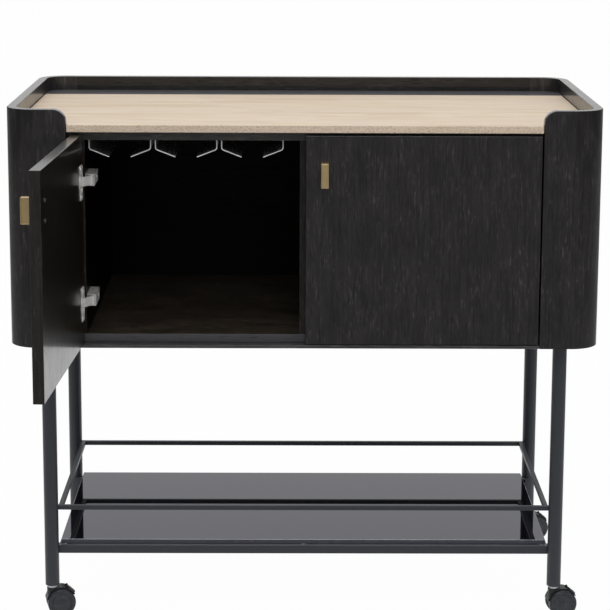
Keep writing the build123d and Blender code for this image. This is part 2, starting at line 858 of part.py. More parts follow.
def lug_outline():
    """Ear that stands on the visor and holds the lever's pin."""
    foot = disc(axle_place, lever_pivot_radius) - disc(axle_place, wheel_clearance)
    foot &= wedge(lever_pivot_angle - lever_lug_spread, lever_pivot_angle + lever_lug_spread)
    return foot + disc(lever_pivot, lever_lug_radius)


def castor_hood():
    """Body between the wheels, with a visor over them, a swivel boss and the lever's lugs."""
    cover = wedge(visor_front, visor_back)
    core = disc(axle_place, hood_core_radius)
    below_middle = Pos(castor_trail, hood_core_bottom - cutter_reach / 2)
    below = below_middle * Rectangle(2 * cutter_reach, cutter_reach)
    core = core - below + (disc(axle_place, visor_radius) & cover)
    visor = (disc(axle_place, visor_radius) - disc(axle_place, wheel_clearance)) & cover
    hood = across(core, -hood_half, hood_half) + across(visor, -visor_width / 2, visor_width / 2)
    hood += rod((0, 0, wheel_radius), (0, 0, boss_top), boss_radius)
    wheel_space = across(disc(axle_place, wheel_clearance), hood_half, castor_width)
    hood = hood - wheel_space - mirror(wheel_space, about=Plane.XZ)
    slot = wedge(lever_end_angle - lever_slot_margin, lever_pivot_angle + lever_slot_margin)
    slot -= disc(axle_place, hood_core_radius)
    hood -= across(slot, -lever_slot_half, lever_slot_half)
    lug = across(lug_outline(), lever_slot_half, lever_slot_half + lever_lug_width)
    hood = hood + lug + mirror(lug, about=Plane.XZ)
    hood -= across(disc(lever_pivot, lever_pin_radius + running_gap), -castor_width, castor_width)
    hood -= across(disc(axle_place, axle_radius), -castor_width, castor_width)
    return hood - rod((0, 0, wheel_radius + axle_radius), (0, 0, castor_height), stem_radius)


def castor_pins():
    """Stem that turns in the leg's socket, and axle that the wheels turn on."""
    stem = rod((0, 0, wheel_radius + axle_radius), (0, 0, castor_height + stem_grip), stem_radius)
    return group([stem, across(disc(axle_place, axle_radius), -axle_half, axle_half)])


def castor_wheel(side):
    """Wheel with a shallow dish in its outer face and a blind bore for the axle."""
    inner = castor_width / 2 - wheel_width
    outer = castor_width / 2
    wheel = across(disc(axle_place, wheel_radius), inner, outer)
    rims = wheel.edges().filter_by(GeomType.CIRCLE).sort_by(Axis.Y)
    wheel = fillet(rims[-1], wheel_edge_round)
    wheel -= across(disc(axle_place, wheel_dish_radius), outer - wheel_dish_depth, outer + overrun)
    wheel -= across(disc(axle_place, axle_radius + running_gap), inner - overrun, outer - wheel_cap)
    return wheel if side > 0 else mirror(wheel, about=Plane.XZ)


def brake_lever():
    """Foot pedal that slopes down over the wheels, with its pivot pin."""
    run = (lever_end[0] - lever_pivot[0], lever_end[1] - lever_pivot[1])
    middle = ((lever_pivot[0] + lever_end[0]) / 2, (lever_pivot[1] + lever_end[1]) / 2)
    outline = Rot(0, 0, degrees(atan2(run[1], run[0]))) * SlotCenterToCenter(hypot(*run), lever_thickness)
    pedal = across(Pos(*middle) * outline, -lever_width / 2, lever_width / 2)
    pin_half = lever_slot_half + lever_lug_width
    return pedal + across(disc(lever_pivot, lever_pin_radius), -pin_half, pin_half)


def leg_socket(x, y):
    """Plug in the leg's end that the castor stem turns in, with a pale collar below the leg."""
    plug = rod((x, y, castor_height), (x, y, castor_height + socket_length), leg_diameter / 2 - leg_wall)
    plug += rod((x, y, collar_bottom), (x, y, castor_height), collar_radius)
    bore_top = castor_height + stem_grip + collar_gap
    return plug - rod((x, y, collar_bottom - overrun), (x, y, bore_top), stem_radius + running_gap)


castor_pieces = {
    "castor_hood": castor_hood(),
    "castor_pins": castor_pins(),
    "castor_left_wheel": castor_wheel(1),
    "castor_right_wheel": castor_wheel(-1),
    "castor_brake_lever": brake_lever(),
}


nodes = {}
nodes["left_side_wrap"], nodes["right_side_wrap"] = side_wraps()
nodes["back_panel"] = back_panel()
nodes["worktop"] = worktop()
nodes["back_ledge"] = back_ledge()
nodes["top_board"] = top_board()
nodes["floor_panel"] = with_leg_screw_holes(carcass_board(floor_bottom, floor_thickness))
nodes["base_board"] = with_leg_screw_holes(base_board())
nodes["centre_divider"] = upright(-divider_thickness / 2, divider_thickness / 2)
nodes["left_inner_side"], nodes["right_inner_side"] = inner_sides()
nodes["left_door"], nodes["right_door"] = hang(door_panel())
nodes["left_handle"], nodes["right_handle"] = hang(handle())
nodes["left_door_screws"], nodes["right_door_screws"] = hang(door_screws())
cups = group([hinge_cup(height) for height in hinge_heights])
nodes["left_hinge_cups"], nodes["right_hinge_cups"] = hang(cups)
nodes["left_hinge_links"], nodes["right_hinge_links"] = hinge_links()
nodes["left_hinge_arms"], nodes["right_hinge_arms"] = fixed_hinge_parts(hinge_arm)
nodes["left_hinge_plates"], nodes["right_hinge_plates"] = fixed_hinge_parts(hinge_plate)
left_screws = on_left_door(group([screw for height in hinge_heights for screw in plate_screws(height)]))
nodes["hinge_plate_screws"] = group([left_screws, mirrored(left_screws)])
nodes["glass_rack_rails"] = group([rack_rail(number) for number in rack_numbers])
nodes["glass_rack_screws"] = group([rack_screw(spot) for spot in rack_screw_spots])
for place_name, place in leg_places.items():
    nodes[f"{place_name}_leg"] = leg(*place)
nodes["leg_screws"] = group([leg_screw(*spot) for spot in leg_screw_places])
nodes["leg_sockets"] = group([leg_socket(*place) for place in leg_places.values()])
nodes["gallery_rail"] = gallery_rail()
nodes["shelf_frame"] = shelf_frame()
nodes["glass_shelf"] = glass_shelf()
nodes["shelf_pads"] = shelf_pads()
for place_name, heading in castor_headings.items():
    for piece_name, piece in castor_pieces.items():
        nodes[f"{place_name}_{piece_name}"] = Pos(*leg_places[place_name]) * Rot(0, 0, heading) * piece

os.makedirs("parts", exist_ok=True)
for name, solid in nodes.items():
    export_step(solid, f"parts/{name}.step")
print("cabinet front", front_y, "arm pin", arm_pin(), "link turn", link_turn())
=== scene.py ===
import json
from fnmatch import fnmatch
from math import pi, radians

import bmesh
import bpy
import numpy as np
from mathutils import Matrix, Vector

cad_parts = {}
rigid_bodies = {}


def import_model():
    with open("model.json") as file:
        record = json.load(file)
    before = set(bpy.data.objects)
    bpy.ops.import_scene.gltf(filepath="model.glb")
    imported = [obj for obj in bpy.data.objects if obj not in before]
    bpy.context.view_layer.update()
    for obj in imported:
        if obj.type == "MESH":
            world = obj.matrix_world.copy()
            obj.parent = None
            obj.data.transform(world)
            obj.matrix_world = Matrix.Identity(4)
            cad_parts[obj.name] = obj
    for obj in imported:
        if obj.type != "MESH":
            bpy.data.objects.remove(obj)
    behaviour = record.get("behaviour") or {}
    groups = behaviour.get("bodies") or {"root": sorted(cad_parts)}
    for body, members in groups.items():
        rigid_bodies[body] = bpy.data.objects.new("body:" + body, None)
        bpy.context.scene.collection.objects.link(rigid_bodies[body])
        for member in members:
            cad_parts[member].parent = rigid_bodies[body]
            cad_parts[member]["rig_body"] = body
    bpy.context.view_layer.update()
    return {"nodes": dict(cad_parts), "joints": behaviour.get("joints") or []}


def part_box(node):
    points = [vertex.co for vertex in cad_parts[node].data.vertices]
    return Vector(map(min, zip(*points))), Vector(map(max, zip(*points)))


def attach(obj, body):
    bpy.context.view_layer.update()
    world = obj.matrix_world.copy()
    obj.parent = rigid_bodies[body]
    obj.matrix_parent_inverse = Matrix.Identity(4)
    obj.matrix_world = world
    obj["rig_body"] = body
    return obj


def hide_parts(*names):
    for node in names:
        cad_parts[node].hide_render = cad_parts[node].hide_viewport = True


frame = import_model()

# Bar cart. Metres, X to the right, Y to the back, Z up from the floor. The slab, the doors, the
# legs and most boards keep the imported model's shape and get a finish here. Handles, screws, hinges,
# rack, floor panel, base board, gallery rail, shelf and castors get a finer mesh in the same place.

MM = 0.001
nodes = frame["nodes"]
joints = {joint["name"]: joint for joint in frame["joints"]}


# Shader expressions


class Value:
    """A shader socket that Python's operators join through Math nodes."""

    def __init__(self, paint, socket):
        self.paint = paint
        self.socket = socket

    def math(self, operation, first, second):
        return self.paint.node("Math", {"operation": operation}, {0: first, 1: second})

    def __add__(self, other):
        return self.math("ADD", self, other)

    def __radd__(self, other):
        return self.math("ADD", other, self)

    def __sub__(self, other):
        return self.math("SUBTRACT", self, other)

    def __rsub__(self, other):
        return self.math("SUBTRACT", other, self)

    def __mul__(self, other):
        return self.math("MULTIPLY", self, other)

    def __rmul__(self, other):
        return self.math("MULTIPLY", other, self)

    def at_least(self, other):
        return self.math("MAXIMUM", self, other)


class Paint:
    """The nodes of one material, or of the world."""

    def __init__(self, owner):
        owner.use_nodes = True
        self.tree = owner.node_tree
        self.tree.nodes.clear()

    def node(self, kind, settings=None, sockets=None, output=0):
        """A node of any kind, with its settings made first, then its sockets set or linked."""
        made = self.tree.nodes.new("ShaderNode" + kind)
        for name, setting in (settings or {}).items():
            if name == "stops":
                self.set_stops(made.color_ramp, setting)
            else:
                setattr(made, name, setting)
        for name, entry in (sockets or {}).items():
            if isinstance(entry, Value):
                self.tree.links.new(entry.socket, made.inputs[name])
            else:
                made.inputs[name].default_value = entry
        return Value(self, made.outputs[output])

    def set_stops(self, ramp, stops):
        """Give a colour ramp its places and colours."""
        while len(ramp.elements) < len(stops):
            ramp.elements.new(1.0)
        for element, (place, shade) in zip(ramp.elements, stops):
            element.position = place
            element.color = shade

    def place(self, scale=(1.0, 1.0, 1.0)):
        """Object coordinates, scaled along each axis."""
        start = self.node("TexCoord", output="Object")
        return self.node("Mapping", {"vector_type": "POINT"}, {"Vector": start, "Scale": scale})

    def part(self, vector, axis):
        """The part of a vector along an axis."""
        return self.node("SeparateXYZ", None, {"Vector": vector}, output=axis)

    def noise(self, vector, scale, detail=2.0, roughness=0.5, distortion=0.0):
        """Noise between 0 and 1."""
        sockets = {
            "Vector": vector,
            "Scale": scale,
            "Detail": detail,
            "Roughness": roughness,
            "Distortion": distortion,
        }
        return self.node("TexNoise", {"noise_dimensions": "3D"}, sockets, output="Fac")

    def layer(self, scale, *noise):
        """Noise on object coordinates that are scaled along each axis."""
        return self.noise(self.place(scale), *noise)

    def ramp(self, value, stops):
        """Colour from a value between 0 and 1."""
        return self.node("ValToRGB", {"stops": stops}, {"Fac": value}, output="Color")

    def step(self, value, low, high):
        """Smooth step of a value from 0 at low to 1 at high."""
        settings = {"interpolation_type": "SMOOTHSTEP"}
        sockets = {"Value": value, "From Min": low, "From Max": high}
        return self.node("MapRange", settings, sockets, output="Result")

    def aside(self, to_right, low, high):
        """Smooth step from 0 to 1 with the distance to the right or to the left."""
        return self.step(to_right, low, high) + self.step(to_right * -1.0, low, high)

    def mix(self, factor, first, second):
        """Two colours mixed."""
        return self.node("Mix", {"data_type": "RGBA"}, {0: factor, 6: first, 7: second}, output=2)

    def facing(self, axis, low, high):
        """1 where the surface faces along an axis, 0 where it faces elsewhere."""
        return self.step(self.part(self.node("NewGeometry", output="Normal"), axis), low, high)

    def bump(self, height, depth, strength):
        """Normal of a surface that rises by a share of the depth."""
        sockets = {"Height": height, "Distance": depth, "Strength": strength}
        return self.node("Bump", None, sockets, output="Normal")

    def finish(self, sockets):
        """Join a Principled shader to the material's output."""
        self.show(self.node("BsdfPrincipled", None, sockets))

    def show(self, shader, kind="OutputMaterial"):
        """Join a shader to the output."""
        end = self.tree.nodes.new("ShaderNode" + kind)
        self.tree.links.new(shader.socket, end.inputs["Surface"])


def colour(red, green, blue):
    """Colour written as seen on a screen, 0 to 255, turned to the light it stands for."""
    shares = np.array([red, green, blue]) / 255
    linear = np.where(shares <= 0.04045, shares / 12.92, ((shares + 0.055) / 1.055) ** 2.4)
    return (*linear.tolist(), 1.0)


def new_paint(name):
    """A new material and the nodes it is painted with."""
    material = bpy.data.materials.new(name)
    return material, Paint(material)


# Finishes


slab_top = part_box("worktop")[1][2]
grain_axis = {"upright": 2, "across": 0}

# Flecks, fibres, pores and drifts of the oak: the share that lengthens each along the grain, then
# its noise's scale, detail, roughness and distortion.
oak_layers = [
    (0.14, 350.0, 3.0, 0.62, 0.6),
    (0.035, 260.0, 3.0, 0.6, 0.0),
    (0.06, 640.0, 2.0, 0.6, 0.0),
    (0.45, 30.0, 3.0, 0.6, 0.4),
]
fleck_share = 0.75
lone_flecks = 0.3
pore_black = colour(8, 7, 7)
pore_cover = 0.55
pore_dulling = 0.6
oak_relief = 0.3 * MM


def stretched(grain, share):
    """Scale of a pattern that runs along the grain, longer by one over the share."""
    return [share if axis == grain_axis[grain] else 1.0 for axis in range(3)]


def shaded_side_faces(paint):
    """1 on the faces that look sideways into a compartment, which get an even near-black painted
    shade, 0 on a board's front edge.
    """
    return 1 + paint.facing("X", low=0.4, high=0.6) - paint.facing("X", low=-0.6, high=-0.4)


def shaded_front_faces_below_slab(paint):
    """1 on the face that looks forwards into the compartments, which gets an even near-black painted
    shade, 0 above the slab and behind.
    """
    above = paint.step(paint.part(paint.place(), "Z"), slab_top - MM, slab_top)
    return (1 - paint.facing("Y", low=-0.6, high=-0.4)) * (1 - above)


def front_edge(paint):
    """1 on a board's front edge, 0 on its other faces."""
    return 1 - paint.facing("Y", low=-0.8, high=-0.4)


def black_oak(name, grain, dark, light, lacquer, painted_faces=None, level=0.5, painted_lighting_tone=(3, 3, 3)):
    """Black open-pore oak under satin lacquer: short pale flecks in drifts, fine dark
    pores and a faint broad figure, all along the grain. The faces that the given mask picks out
    have one even painted tone instead, without lacquer: painted shade inside the compartments,
    painted light on the floor board's front edge."""
    material, paint = new_paint(name)
    flecks, fibres, pores, drifts = [
        paint.layer(stretched(grain, share), *noise) for share, *noise in oak_layers
    ]
    gathered = lone_flecks + (1 - lone_flecks) * paint.step(drifts, low=0.38, high=0.6)
    pale = paint.step(flecks, low=0.52, high=0.72) * gathered
    figure = paint.step(fibres * 0.6 + drifts * 0.4, low=0.34, high=0.66)
    tone = figure * (1 - fleck_share) + pale * fleck_share
    deep = paint.step(pores, low=0.55, high=0.68)
    oak_and_painted_tone = paint.ramp(tone, [(0.0, colour(*dark)), (1.0, colour(*light))])
    lacquered = lacquer * (1 - pore_dulling * deep)
    # Painted light and shade: the masked faces lose the oak and its lacquer for one even tone.
    if painted_faces:
        painted_share = painted_faces(paint)
        oak_and_painted_tone = paint.mix(painted_share, oak_and_painted_tone, colour(*painted_lighting_tone))
        lacquered = lacquered * (1 - painted_share)
    relief = flecks * 0.5 + fibres * 0.3 + (1 - deep) * 0.5
    paint.finish(
        {
            "Base Color": paint.mix(deep * pore_cover, oak_and_painted_tone, pore_black),
            "Roughness": 0.3 + 0.16 * deep + 0.14 * fibres,
            "Specular IOR Level": level,
            "Coat Weight": lacquered,
            "Coat Roughness": 0.12,
            "Normal": paint.bump(relief, oak_relief, 0.7),
        }
    )
    return material


# Broad streaks, thin streaks, clouds and grains of the stone: how each is scaled along X, Y and Z,
# then its noise's scale, detail, roughness and distortion.
stone_layers = [
    ((0.12, 1.0, 3.0), 24.0, 4.0, 0.55, 0.6),
    ((0.12, 1.0, 2.0), 95.0, 4.0, 0.6, 1.2),
    ((0.45, 1.0, 1.0), 15.0, 4.0, 0.6, 0.8),
    ((0.6, 1.0, 0.8), 600.0, 3.0, 0.65, 0.0),
]
tan, cream, pink = colour(213, 191, 161), colour(227, 207, 182), colour(221, 201, 182)
cloud_tint = colour(232, 215, 194)
cloud_cover = 0.5
streak_tint = colour(194, 172, 144)
streak_cover = 0.36
sawn_tint = colour(222, 202, 182)
sawn_cover = 0.6
pit_tint = colour(172, 152, 134)
sawn_pits = 0.8
honed_pits = 0.05
stone_relief = 0.6 * MM


def slab_stone():
    """Pale honed slab: fine level streaks of cream, pink and tan, paler clouds, and pits in its
    sawn front edge."""
    material, paint = new_paint("slab_stone")
    broad, thin, clouds, grains = [paint.layer(*layer) for layer in stone_layers]
    level = paint.step(broad, low=0.3, high=0.7)
    layered = paint.ramp(level, [(0.0, tan), (0.5, cream), (1.0, pink)])
    cloudy = paint.step(clouds, low=0.45, high=0.68) * cloud_cover
    streaky = paint.step(thin, low=0.48, high=0.72) * streak_cover
    streaked = paint.mix(streaky, paint.mix(cloudy, layered, cloud_tint), streak_tint)
    sawn = front_edge(paint)
    edged = paint.mix(sawn * sawn_cover, streaked, sawn_tint)
    pitted = paint.step(grains, low=0.46, high=0.7) * (sawn * sawn_pits + honed_pits)
    paint.finish(
        {
            "Base Color": paint.mix(pitted, edged, pit_tint),
            "Roughness": 0.42 + 0.2 * pitted + 0.1 * broad,
            "Specular IOR Level": 0.35,
            "Normal": paint.bump((1 - pitted) * 0.8 + thin * 0.1, stone_relief, 0.7),
        }
    )
    return material


no_lines = (1.0, 1.0, 1.0)
upright_lines = (1.0, 1.0, 0.02)
plate_lines = (1.0, 0.05, 1.0)
rail_lines = (1.0, 0.03, 1.0)


def metal(name, tint, shade, roughness, lines, relief, metallic=1.0, painted_highlight_metallic=None):
    """Polished metal or metal under a plating, with fine drawn lines across one direction. Where a
    share for the front faces is given, it is the metallic share on the faces that face the front,
    so that their pale colour shows there as a painted highlight."""
    material, paint = new_paint(name)
    metal_share = metallic
    if painted_highlight_metallic is not None:
        # Faces that face the front get less metal and show their pale colour: a painted highlight.
        metal_share = painted_highlight_metallic + (metallic - painted_highlight_metallic) * paint.facing("Y", low=-0.8, high=-0.3)
    drawn = paint.noise(paint.place(lines), scale=1400.0)
    cloud = paint.noise(paint.place(), scale=60.0, detail=3.0)
    paint.finish(
        {
            "Base Color": paint.mix(cloud, colour(*tint), colour(*shade)),
            "Metallic": metal_share,
            "Roughness": roughness + 0.12 * drawn,
            "Normal": paint.bump(drawn, relief, 0.5),
        }
    )
    return material


anthracite, anthracite_speck = colour(56, 58, 64), colour(72, 74, 81)
peel_relief = 0.12 * MM


def steel_with_painted_top_light(name, top):
    """Anthracite powder coat with a fine orange-peel skin; its top faces take a colour of their own,
    a painted light from above.
    """
    material, paint = new_paint(name)
    skin = paint.noise(paint.place(), scale=900.0)
    specks = paint.noise(paint.place(), scale=2400.0, detail=1.0)
    coat = paint.mix(paint.step(specks, low=0.4, high=0.7), anthracite, anthracite_speck)
    # Top faces: painted light, a paler colour where light from above would fall.
    upwards = paint.facing("Z", low=0.6, high=0.9)
    paint.finish(
        {
            "Base Color": paint.mix(upwards, coat, colour(*top)),
            "Roughness": 0.36 + 0.15 * skin,
            "Normal": paint.bump(skin, peel_relief, 0.6),
        }
    )
    return material


glass_dark, glass_haze = colour(5, 5, 9), colour(11, 11, 17)
dust_tint = colour(150, 150, 155)
dust_cover = 0.12
ground_side, painted_edge_highlight = colour(74, 74, 79), colour(205, 206, 212)


def black_glass():
    """Opaque black glass, polished, with a trace of haze and a few fine specks of dust. Its sides
    are ground grey and the rounding above them is painted pale, a painted highlight on the edge."""
    material, paint = new_paint("black_glass")
    haze = paint.noise(paint.place(), scale=18.0, detail=3.0)
    specks = paint.noise(paint.place(), scale=700.0, roughness=0.6)
    dust = paint.step(specks, low=0.7, high=0.78)
    polished = paint.mix(dust * dust_cover, paint.mix(haze, glass_dark, glass_haze), dust_tint)
    top, under = paint.facing("Z", low=0.93, high=0.99), 1 - paint.facing("Z", low=-0.9, high=-0.7)
    ground = (1 - under) * (1 - top)
    # The upward rounding takes the pale painted highlight; the ground sides keep their grey.
    edge = paint.mix(paint.facing("Z", low=0.1, high=0.4), ground_side, painted_edge_highlight)
    paint.finish(
        {
            "Base Color": paint.mix(ground, polished, edge),
            "Roughness": 0.015 + 0.015 * haze + 0.1 * dust + 0.25 * ground,
            "IOR": 1.57,
            "Specular Tint": (0.66, 0.66, 1.0, 1.0),
        }
    )
    return material


spark_relief = 0.08 * MM


def moulded(name, tint, worn, roughness):
    """Moulded plastic with a faint spark texture and paler rubbed places."""
    material, paint = new_paint(name)
    spark = paint.noise(paint.place(), scale=1600.0, detail=3.0, roughness=0.6)
    scuff = paint.noise(paint.place(), scale=110.0, detail=3.0, roughness=0.6)
    rubbed = paint.step(scuff, low=0.42, high=0.7)
    paint.finish(
        {
            "Base Color": paint.mix(rubbed, colour(*tint), colour(*worn)),
            "Roughness": roughness + 0.15 * scuff,
            "Normal": paint.bump(spark, spark_relief, 0.5),
        }
    )
    return material


finishes = {
    "oak_upright": black_oak("oak_upright", "upright", (21, 18, 19), (72, 67, 68), 0.6),
    "oak_across": black_oak("oak_across", "across", (38, 37, 37), (92, 89, 87), 0.8),
    "oak_brown": black_oak("oak_brown", "upright", (16, 13, 10), (62, 54, 46), 0.6),
    # Inner sides and divider: near-black painted shade on their sideways faces, and a low specular
    # level all over.
    "oak_inner": black_oak(
        "oak_inner", "upright", (24, 21, 19), (70, 64, 59), 0.5, shaded_side_faces, level=0.15
    ),
    "oak_base": black_oak("oak_base", "across", (50, 49, 50), (112, 109, 108), 0.8),
    # Back ledge: painted pale grey in place of the black oak, a painted light and sheen where its top
    # catches light from above.
    "oak_ledge_painted_light": black_oak("oak_ledge_painted_light", "across", (92, 92, 96), (132, 131, 134), 0.8),
    # Back panel: near-black painted shade on its face inside the compartments, below the slab.
    "oak_back": black_oak(
        "oak_back", "across", (17, 16, 16), (54, 51, 50), 0.8, shaded_front_faces_below_slab, level=0.12
    ),
    # Floor board: its front edge is an even paler grey in place of the oak, a painted light on that
    # edge.
    "oak_floor": black_oak(
        "oak_floor", "across", (38, 33, 28), (132, 117, 101), 0.2, front_edge, painted_lighting_tone=(84, 84, 87)
    ),
    "stone": slab_stone(),
    "brass": metal(
        "brass", (222, 198, 150), (202, 175, 126), 0.26, upright_lines, 0.03 * MM, 0.68
    ),
    "nickel": metal(
        "nickel", (242, 240, 237), (226, 225, 222), 0.22, plate_lines, 0.02 * MM, 0.4
    ),
    # Rack rails: the faces that face the front are almost matt white, a painted highlight.
    "chrome_rack": metal(
        "chrome", (252, 252, 252), (246, 247, 249), 0.2, rail_lines, 0.01 * MM, 0.9, painted_highlight_metallic=0.1
    ),
    "zinc": metal("zinc", (196, 198, 200), (160, 163, 167), 0.3, no_lines, 0.03 * MM),
    # Legs and gallery rail: top faces in about the coat's own colour; the shelf frame's top faces are
    # painted much paler, a painted light from above.
    "frame_steel": steel_with_painted_top_light("frame_steel", (64, 66, 73)),
    "shelf_steel_painted_top_light": steel_with_painted_top_light("shelf_steel_painted_top_light", (118, 120, 127)),
    "black_glass": black_glass(),
    "castor_plastic": moulded("castor_plastic", (30, 31, 32), (44, 45, 46), 0.32),
    "wheel_plastic": moulded("wheel_plastic", (51, 52, 58), (66, 67, 74), 0.28),
    "pale_collar": moulded("pale_collar", (232, 234, 238), (214, 216, 222), 0.3),
    "clear_pad": moulded("clear_pad", (170, 172, 174), (150, 152, 155), 0.3),
}

# The record's slot of a finish, where it has another name
slots = {finish: "oak" for finish in finishes if finish.startswith("oak_")}
slots["shelf_steel_painted_top_light"] = "frame_steel"

# The names of the nodes that each finish is for. The first row that fits holds.
worn_by = {
    "stone": ["worktop"],
    "brass": ["*_handle"],
    "nickel": ["*hinge*", "*door_screws"],
    "chrome_rack": ["glass_rack_rails"],
    "zinc": ["*screws", "*castor_pins"],
    "frame_steel": ["*_leg", "gallery_rail"],
    "shelf_steel_painted_top_light": ["shelf_frame"],
    "black_glass": ["glass_shelf"],
    "clear_pad": ["shelf_pads"],
    "pale_collar": ["leg_sockets"],
    "wheel_plastic": ["*_wheel"],
    "castor_plastic": ["*castor*"],
    "oak_floor": ["floor_panel"],
    "oak_across": ["top_board"],
    "oak_base": ["base_board"],
    "oak_ledge_painted_light": ["back_ledge"],
    "oak_back": ["back_panel"],
    "oak_inner": ["centre_divider", "*_inner_side"],
    "oak_brown": ["left_door"],
    "oak_upright": ["*"],
}


def finish_of(name):
    """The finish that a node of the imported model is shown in."""
    return next(
        finish
        for finish, patterns in worn_by.items()
        if any(fnmatch(name, pattern) for pattern in patterns)
    )


def dress(thing, finish):
    """Give a thing one finish all over."""
    thing.data.materials.clear()
    thing.data.materials.append(finishes[finish])


for node_name, node in nodes.items():
    dress(node, finish_of(node_name))


# Surfaces worked out as grids of points


merge_distance = 1e-6
flat_angle = radians(0.5)
crease_angle = radians(35)


def quads(rows, columns, first):
    """Faces of a grid whose columns close on themselves."""
    row, column = np.meshgrid(np.arange(rows - 1), np.arange(columns), indexing="ij")
    after = (column + 1) % columns
    corners = [row * columns + column, row * columns + after]
    corners += [(row + 1) * columns + after, (row + 1) * columns + column]
    return np.stack(corners, -1).reshape(-1, 4) + first


def merged(mesh):
    """A mesh opened for changes, with its doubles merged."""
    work = bmesh.new()
    work.from_mesh(mesh)
    bmesh.ops.remove_doubles(work, verts=work.verts, dist=merge_distance)
    return work


def closed(work, mesh):
    """Write the changes back to the mesh."""
    work.to_mesh(mesh)
    work.free()


def crease(mesh):
    """Smooth shading with sharp edges where the surface turns hard."""
    mesh.polygons.foreach_set("use_smooth", np.ones(len(mesh.polygons), bool))
    mesh.set_sharp_from_angle(angle=crease_angle)


def stand_for(thing, replaced, finish=None):
    """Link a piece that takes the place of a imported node, on its body, in its or another finish."""
    bpy.context.scene.collection.objects.link(thing)
    finish = finish or finish_of(replaced)
    dress(thing, finish)
    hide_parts(replaced)
    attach(thing, nodes[replaced]["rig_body"])


def from_grids(name, grids, replaced, finish=None):
    """One piece from grids of points, each closed along its columns; rows of one point are poles."""
    counts = np.cumsum([0] + [grid.shape[0] * grid.shape[1] for grid in grids])
    faces = np.concatenate([quads(*grid.shape[:2], start) for grid, start in zip(grids, counts)])
    points = np.concatenate([grid.reshape(-1, 3) for grid in grids])
    mesh = bpy.data.meshes.new(name)
    mesh.from_pydata(points.tolist(), [], faces.tolist())
    work = merged(mesh)
    bmesh.ops.recalc_face_normals(work, faces=work.faces)
    closed(work, mesh)
    crease(mesh)
    stand_for(bpy.data.objects.new(name, mesh), replaced, finish)


def unit(vector):
    """The direction of a vector."""
    return vector / np.linalg.norm(vector)


def square_to(aim):
    """Two directions square to an aim and to each other."""
    helper = np.eye(3)[np.abs(aim).argmin()]
    side = unit(np.cross(aim, helper))
    return side, np.cross(aim, side)


def turned(profile, start, aim, around):
    """Surface of revolution: every (along, radius) pair of the profile goes round the aim."""
    side, other = square_to(aim)
    angle = np.linspace(0, 2 * pi, around, endpoint=False)
    along, radius = np.array(profile).T
    ring = np.cos(angle)[:, None] * side + np.sin(angle)[:, None] * other
    return start + along[:, None, None] * aim + radius[:, None, None] * ring


def rounded_outline(width, height, radius, corner_steps):
    """Rectangle about the origin whose corners are quarter circles, walked anticlockwise."""
    signs = np.array([(1, 1), (-1, 1), (-1, -1), (1, -1)])
    centres = signs * (width / 2 - radius, height / 2 - radius)
    angle = np.linspace(0, pi / 2, corner_steps + 1) + pi / 2 * np.arange(4)[:, None]
    quarters = radius * np.stack([np.cos(angle), np.sin(angle)], -1)
    return (centres[:, None] + quarters).reshape(-1, 2)


def corners_of(name):
    """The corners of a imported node's mesh, as an array."""
    points = np.empty(len(nodes[name].data.vertices) * 3)
    nodes[name].data.vertices.foreach_get("co", points)
    return points.reshape(-1, 3)


def reach(name, aim):
    """The lowest and highest place of a node along a direction."""
    along = corners_of(name) @ aim
    return along.min(), along.max()


# Handles


handle_wall = 1.8 * MM
handle_recess = 1.2 * MM
handle_front_radius = 1.5 * MM
handle_inner_radius = 0.4 * MM
handle_crown = 0.4 * MM
handle_steps = 5
strap_edge = 0.8 * MM
strap_edge_steps = 3


def handle_grids(low, high):
    """Strap and core. The strap's section, a rounded strip, is carried round a rounded loop: each
    of its points lies between the loop's outer and inner edge by its share of the wall, and the
    share grows with the square of the distance from the middle, which crowns the faces. The core
    is a block between two flat ends inside the loop."""
    size, middle = high - low, (high + low) / 2
    width, depth, height = size
    within = size - 2 * handle_wall
    filled_size = size - handle_wall
    outer = rounded_outline(depth, height, handle_front_radius, handle_steps)
    inner = rounded_outline(*within[1:], handle_inner_radius, handle_steps)
    section = rounded_outline(handle_wall, width, strap_edge, strap_edge_steps)
    crown = handle_crown * (section[:, 1] / (width / 2)) ** 2
    share = ((section[:, 0] + crown) / handle_wall + 0.5)[:, None]
    loop = outer[:, None] * (1 - share) + inner[:, None] * share
    sides = np.broadcast_to(section[:, 1], loop.shape[:2])
    strap = np.concatenate([sides[..., None], loop], -1) + middle
    core_half = width / 2 - handle_recess
    filled = rounded_outline(*filled_size[1:], handle_inner_radius, handle_steps)
    ends = [(-core_half, 0.0), (-core_half, 1.0), (core_half, 1.0), (core_half, 0.0)]
    core = [np.column_stack([np.full(len(filled), side), filled * scale]) for side, scale in ends]
    return [np.concatenate([strap, strap[:1]]), np.stack(core) + middle]


def opened_left(grid):
    """A right door's piece mirrored to the left door, which stands open."""
    swing = joints["left_door_swing"]
    axis_place = np.array([*swing["pos_m"][:2], 0.0])
    turn = np.array(Matrix.Rotation(-radians(swing["range_deg"][1]), 3, "Z"))
    return (grid * (-1, 1, 1) - axis_place) @ turn.T + axis_place


handle_box = [np.array(corner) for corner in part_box("right_handle")]
right_handle = handle_grids(*handle_box)
from_grids("right_brass_grip", right_handle, "right_handle")
from_grids("left_brass_grip", [opened_left(grid) for grid in right_handle], "left_handle")


# Screws


head_rows = 10
head_sides = 32
dome_fall = 0.75
recess_depth = 0.5
recess_arm, recess_arm_fade = 0.62, 0.1
recess_width, recess_width_fade = 0.2, 0.12
long_screw = 20.0 * MM


